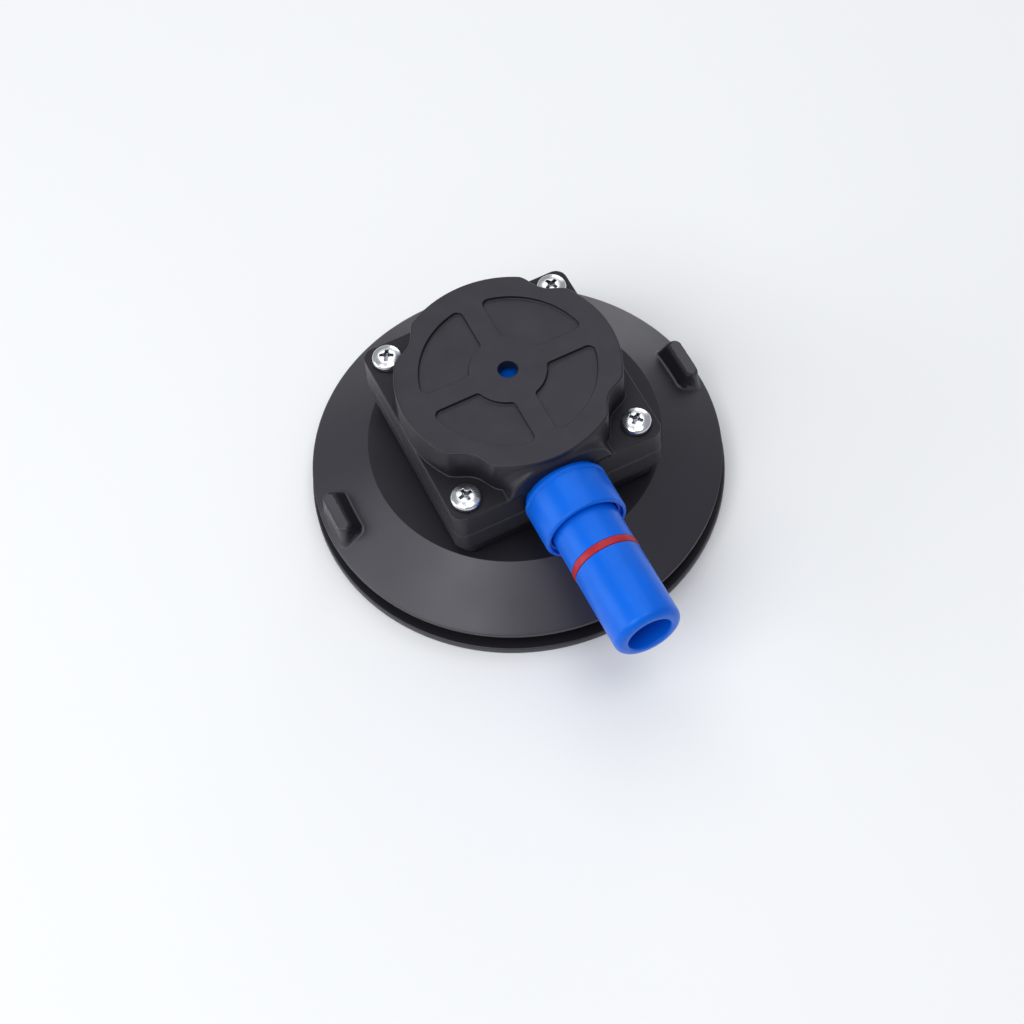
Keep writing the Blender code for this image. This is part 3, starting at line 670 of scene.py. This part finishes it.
def housing_field(x, y, z):
    """The whole housing: turret, flange, skirt and hood, less its hollows and holes."""
    turret = blend_both(turret_plan(x, y) + TURRET_DRAFT * (z - TOP_Z), z - TOP_Z, 0.55)
    turret = np.maximum(turret, 30.0 - z)
    seam = SEAM_STEP / (1 + np.exp((z - SEAM_Z) / 0.09))
    square = rounded_rectangle(x, y, FLANGE_HALF, FLANGE_HALF, CORNER) + SEAM_STEP - seam
    flange = blend_both(square, slab(z, *FLANGE_Z), 0.4)
    skirt = np.maximum(rounded_rectangle(x, y, SKIRT_HALF, SKIRT_HALF, CORNER),
                       slab(z, PLATFORM_Z + 0.04, FLANGE_Z[0] + 1))
    above = np.clip((z - FLANGE_Z[1] + 0.6) / 1.6, 0, 1)    # from 0 to 1 over the flange's top
    solid = blend_union(blend_union(flange, turret, 0.35), hood_field(x, y, z, above),
                        0.1 + 1.6 * above)
    solid = np.maximum(np.minimum(solid, skirt), -hollow(x, y, z))
    solid = blend_cut(solid, pump_seat(x, y, z), 0.25)
    hole = np.maximum(length(x, y) - HOLE_RADIUS, 40.0 - z)
    solid = blend_cut(solid, hole, 0.3)
    solid = np.maximum(solid, SCREW_HOLE_RADIUS - from_screws(x, y))
    pocket = blend_both(pocket_plan(x, y), TOP_Z - POCKET_DEPTH - z, 0.25)
    return blend_cut(solid, pocket, 0.22)


def make_housing():
    """The housing, on a grid that is finer at the flange's and the turret's top."""
    side = FLANGE_HALF + 0.6
    across = grid_lines((-side, side, 0.3))
    along = grid_lines((HOOD_FACE_Y - 0.6, side, 0.3))
    up = grid_lines((PLATFORM_Z - 0.4, 38.2, 0.35), (38.2, 40.0, 0.2), (40.0, 48.0, 0.35),
                    (48.0, TOP_Z + 0.3, 0.11))
    housing = mould("housing_shell", housing_field, (across, along, up), 0.36)
    dress(housing, "housing")
    # painted shade on the flange's top
    housing.data.materials.append(SLOTS["black_nylon_painted_shade"])
    for face in housing.data.polygons:      # painted shade: the flange's top gets the darker, less shiny nylon copy
        height = face.center.z / MM - FLANGE_Z[1]
        face.material_index = int(abs(height) < 0.12 and face.normal.z > 0.98)


# Screws

RECESS_TURNS = (24.0, 61.0, 8.0, 40.0)  # how far each screw's cross is turned, in degrees


def make_screws():
    """Four pan-head screws with a cross recess, which share one mesh."""
    seat, crown = FLANGE_Z[1] + CLEAR, SCREW_HIGH[2]
    shank, tip = 1.85, SCREW_LOW[2]
    dome = 7.6                      # the head's crown is part of a ball of this radius
    arm_half, arm_reach, recess_depth = 0.46, 1.95, 1.75

    def field(x, y, z):
        across = length(x, y)
        head = blend_both(across - HEAD_RADIUS, slab(z, seat, crown), 0.12)
        ball = length(across, z - crown + dome) - dome
        head = blend_both(head, ball, 0.45)
        stem = blend_both(across - shank, slab(z, tip, seat + 0.5), 0.35)
        solid = blend_union(head, stem, 0.15)
        taper = (crown - z) * 0.09
        wide_x, wide_y = np.abs(x) + taper, np.abs(y) + taper
        arms = np.minimum(np.maximum(wide_x - arm_half, wide_y - arm_reach + 2 * taper),
                          np.maximum(wide_y - arm_half, wide_x - arm_reach + 2 * taper))
        middle = across - 0.95 + 2 * taper
        recess = blend_both(blend_union(arms, middle, 0.25), crown - recess_depth - z, 0.2)
        return blend_cut(solid, recess, 0.12)

    side = HEAD_RADIUS + 0.3
    lines = (grid_lines((-side, side, 0.11)), grid_lines((-side, side, 0.11)),
             grid_lines((tip - 0.4, seat - 0.4, 0.4), (seat - 0.4, crown + 0.3, 0.1)))
    pattern = mould("screw_pattern", field, lines, 0.6, 0.05)
    # painted shade in the screws' cross recesses
    paint_recess_shade(SLOTS["zinc_steel"], crown - 0.35, 2.3)
    for turn, (name, middle) in zip(RECESS_TURNS, SCREWS.items()):
        screw = bpy.data.objects.new(f"{name}_zinc", pattern.data)
        bpy.context.scene.collection.objects.link(screw)
        screw.location = (middle[0] * MM, middle[1] * MM, 0)
        screw.rotation_euler.z = math.radians(turn)
        dress(screw, name)
    bpy.data.objects.remove(pattern)


# Pump

PUMP_LINE = (0.0, AXIS_Z)


def make_collar():
    """The collar, with a recessed face round the plunger and a groove near its back."""
    front, back, outer = COLLAR_LOW[1], COLLAR_HIGH[1], COLLAR_RADIUS
    rim, inner, seat = outer - 1.15, 9.55, BARREL_RADIUS + CLEAR
    groove = outer - 0.22
    dress(lathe("collar", [
        (inner, front + 1.3, 0.15), (rim, front + 1.3, 0.2), (rim, front, 0.3),
        (outer, front, 0.8), (outer, back - 1.75, 0.12), (groove, back - 1.55, 0.1),
        (groove, back - 1.25, 0.1), (outer, back - 1.05, 0.12), (outer, back, 0.5),
        (seat, back, 0.15), (seat, front + 2.2, 0), (inner, front + 2.2, 0.15)],
        "Y", PUMP_LINE), "barrel_collar")


def make_barrel():
    """The barrel, with its ledge, and the nipple with the port under it."""
    low, high, foot = BARREL_LOW[1], BARREL_HIGH[1], BARREL_LOW[2]
    bore_floor = AXIS_Z - BORE_RADIUS
    port, nipple_radius = NIPPLE_RADII
    barrel = lathe("barrel", [
        (BORE_RADIUS, low, 0.15), (BARREL_RADIUS, low, 0.3), (BARREL_RADIUS, LEDGE_Y[0], 0),
        (LEDGE_RADIUS, LEDGE_Y[0], 0.25), (LEDGE_RADIUS, LEDGE_Y[1], 0.25),
        (BARREL_RADIUS, LEDGE_Y[1], 0.3), (BARREL_RADIUS, high, 0.6), (0.01, high, 0),
        (0.01, BARREL_FLOOR_Y, 0), (BORE_RADIUS, BARREL_FLOOR_Y, 0.5)], "Y", PUMP_LINE)
    nipple = lathe("nipple", [
        (port, foot, 0.2), (nipple_radius, foot, 0.3), (nipple_radius, bore_floor - 0.4, 0),
        (port, bore_floor - 0.4, 0)], segments=64)
    combine(barrel, nipple, "UNION")
    combine(barrel, lathe("port", [(0.01, foot - 1, 0), (port, foot - 1, 0),
                                   (port, bore_floor + 2, 0), (0.01, bore_floor + 2, 0)],
                          segments=64))
    barrel.data.set_sharp_from_angle(angle=math.radians(32))
    dress(barrel, "pump_barrel")


def make_plunger():
    """The plunger, hollow at both ends, and the ring in its groove."""
    radius, groove = PLUNGER_RADIUS, (RING_LOW[1] - 0.15, RING_HIGH[1] + 0.15)
    plunger = lathe("thumb_plunger", [
        (0.01, THUMB_FLOOR_Y, 0), (THUMB_RADIUS, THUMB_FLOOR_Y, 0.8),
        (THUMB_RADIUS, PLUNGER_LOW[1], 0.6), (radius, PLUNGER_LOW[1], 2.1),
        (radius, groove[0], 0.12), (radius - 0.6, groove[0], 0), (radius - 0.6, groove[1], 0),
        (radius, groove[1], 0.12), (radius, NECK_Y, 0.25), (NECK_RADIUS, NECK_Y, 0),
        (NECK_RADIUS, PLUNGER_HIGH[1], 0.15), (SPRING_WELL[0], PLUNGER_HIGH[1], 0.15),
        (*SPRING_WELL, 0.5), (0.01, SPRING_WELL[1], 0)], "Y", PUMP_LINE, steps=8)
    dress(plunger, "plunger", body="plunger")
    ring = lathe("red_ring", [
        (radius - 0.45, RING_LOW[1], 0), (RING_RADIUS, RING_LOW[1], 0.1),
        (RING_RADIUS, RING_HIGH[1], 0.1), (radius - 0.45, RING_HIGH[1], 0)], "Y", PUMP_LINE)
    dress(ring, "indicator_ring", body="plunger")


def make_spring():
    """The return spring as a round wire, with close end turns."""
    sides, around = 14, 36
    radius = (SPRING_HIGH[0] - SPRING_LOW[0]) / 2 - WIRE_RADIUS
    start, end = SPRING_LOW[1] + WIRE_RADIUS, SPRING_HIGH[1] - WIRE_RADIUS
    count = COILS * around
    turn = np.arange(count + 1) / around
    close_turns, close_pitch = 1.25, 2.6 * WIRE_RADIUS
    open_pitch = (end - start - 2 * close_turns * close_pitch) / (COILS - 2 * close_turns)
    closed = (turn < close_turns) | (turn >= COILS - close_turns)
    rate = np.where(closed, close_pitch, open_pitch) / around
    along = start + np.concatenate([[0], np.cumsum(rate[:-1])])
    angle = 2 * math.pi * turn[:, None]
    side = 2 * math.pi * np.arange(sides)[None, :] / sides
    reach = radius + WIRE_RADIUS * np.cos(side)
    vertices = np.stack([reach * np.cos(angle), along[:, None] + WIRE_RADIUS * np.sin(side),
                         AXIS_Z + reach * np.sin(angle)], -1).reshape(-1, 3)
    faces = tube_faces(count + 1, sides, False).tolist()
    faces += [list(range(sides)), list(range(count * sides, (count + 1) * sides))]
    spring = new_object("return_spring", vertices, faces)
    outward(spring)
    spring.data.set_sharp_from_angle(angle=math.radians(40))
    dress(spring, "plunger_spring")
    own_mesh(spring)


def dress_frame():
    """Materials for the CAD nodes that stay."""
    for name, node in frame["nodes"].items():
        node.data.materials.clear()
        node.data.materials.append(SLOTS[SLOT_OF[name]])


# Studio

def make_floor():
    """A plain floor, just under the pad's lip."""
    shape = bmesh.new()
    bmesh.ops.create_grid(shape, x_segments=2, y_segments=2, size=4.0)
    mesh = bpy.data.meshes.new("floor")
    shape.to_mesh(mesh)
    shape.free()
    floor = bpy.data.objects.new("floor", mesh)
    bpy.context.scene.collection.objects.link(floor)
    floor.location.z = cad_box[0][2] - 0.0001
    mesh.materials.append(shader("pale_floor", (0.86, 0.875, 0.885), 0.6, grain=3.0, depth=0.0,
                                 mottle=0.004, patch=300.0, spread=0.01))


def softbox(name, place, size, power):
    """A square lamp that faces the frame's origin."""
    lamp = bpy.data.lights.new(name, "AREA")
    lamp.size, lamp.energy = size, power
    item = bpy.data.objects.new(name, lamp)
    bpy.context.scene.collection.objects.link(item)
    item.location = place
    item.rotation_mode = "QUATERNION"
    item.rotation_quaternion = item.location.to_track_quat("Z", "Y")


def make_light():
    """A soft, slightly cool studio, brightest on the left and behind."""
    world = bpy.data.worlds.new("white_studio")
    world.use_nodes = True
    background = world.node_tree.nodes["Background"]
    background.inputs["Color"].default_value = (0.93, 0.95, 1.0, 1.0)
    background.inputs["Strength"].default_value = 0.36
    bpy.context.scene.world = world
    softbox("overhead", (0.15, 0.55, 1.15), 1.2, 5.0)
    softbox("front_strip", (0.12, -0.32, 1.15), 0.45, 2.4)
    softbox("left_front", (-0.72, -0.34, 0.98), 0.75, 6.0)
    softbox("left", (-1.1, 0.3, 0.4), 0.7, 3.6)
    softbox("right_back", (0.95, 1.1, 0.3), 0.7, 3.0)
    view = bpy.context.scene.view_settings
    view.view_transform, view.look = "Standard", "None"


def make_camera():
    """A camera aimed at a point in the frame and rolled about its line of sight."""
    place = Vector((-0.11711, -0.30272, 0.52101))
    aim = Vector((-0.01148, -0.02186, 0.0187))
    roll = -6.374                   # degrees
    data = bpy.data.cameras.new("camera")
    data.sensor_width, data.lens = 36.0, 77.54
    camera = bpy.data.objects.new("camera", data)
    bpy.context.scene.collection.objects.link(camera)
    camera.location = place
    camera.rotation_mode = "QUATERNION"
    camera.rotation_quaternion = ((aim - place).to_track_quat("-Z", "Y")
                                  @ Quaternion((0, 0, 1), math.radians(roll)))
    bpy.context.scene.camera = camera


make_pad()
make_housing()
make_screws()
make_collar()
make_barrel()
make_plunger()
make_spring()
dress_frame()
make_floor()
make_light()
make_camera()
